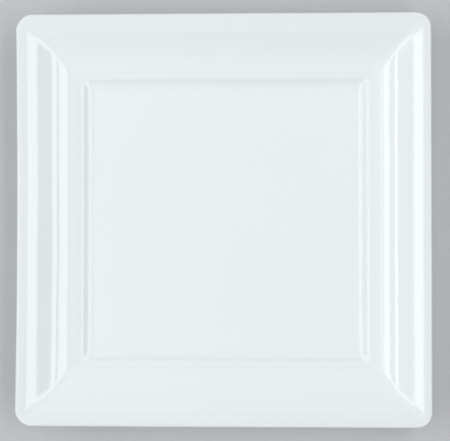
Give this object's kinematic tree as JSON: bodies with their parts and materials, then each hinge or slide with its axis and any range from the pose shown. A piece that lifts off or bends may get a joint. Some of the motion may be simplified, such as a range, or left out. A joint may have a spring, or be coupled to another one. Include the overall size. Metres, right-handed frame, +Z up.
{
  "type": "square bread and butter plate",
  "caption": "Square side plate of white glazed porcelain: flat well, small step, coved and crowned rim with rounded corners, glazed underside and a bare foot ring.",
  "frame": {"origin": "centre of the plate, on the plane that its foot ring rests on", "axes": "+Z up out of the well, X and Y along the plate's sides"},
  "size_m": [0.16, 0.16, 0.0172],
  "materials": {
    "biscuit": "bare fired porcelain, fine and matt",
    "white_glaze": "cool white transparent glaze, high gloss"
  },
  "bodies": {
    "root": {"porcelain_body": "biscuit", "face_and_rim_glaze": "white_glaze", "foot_recess_glaze": "white_glaze"}
  },
  "joints": []
}
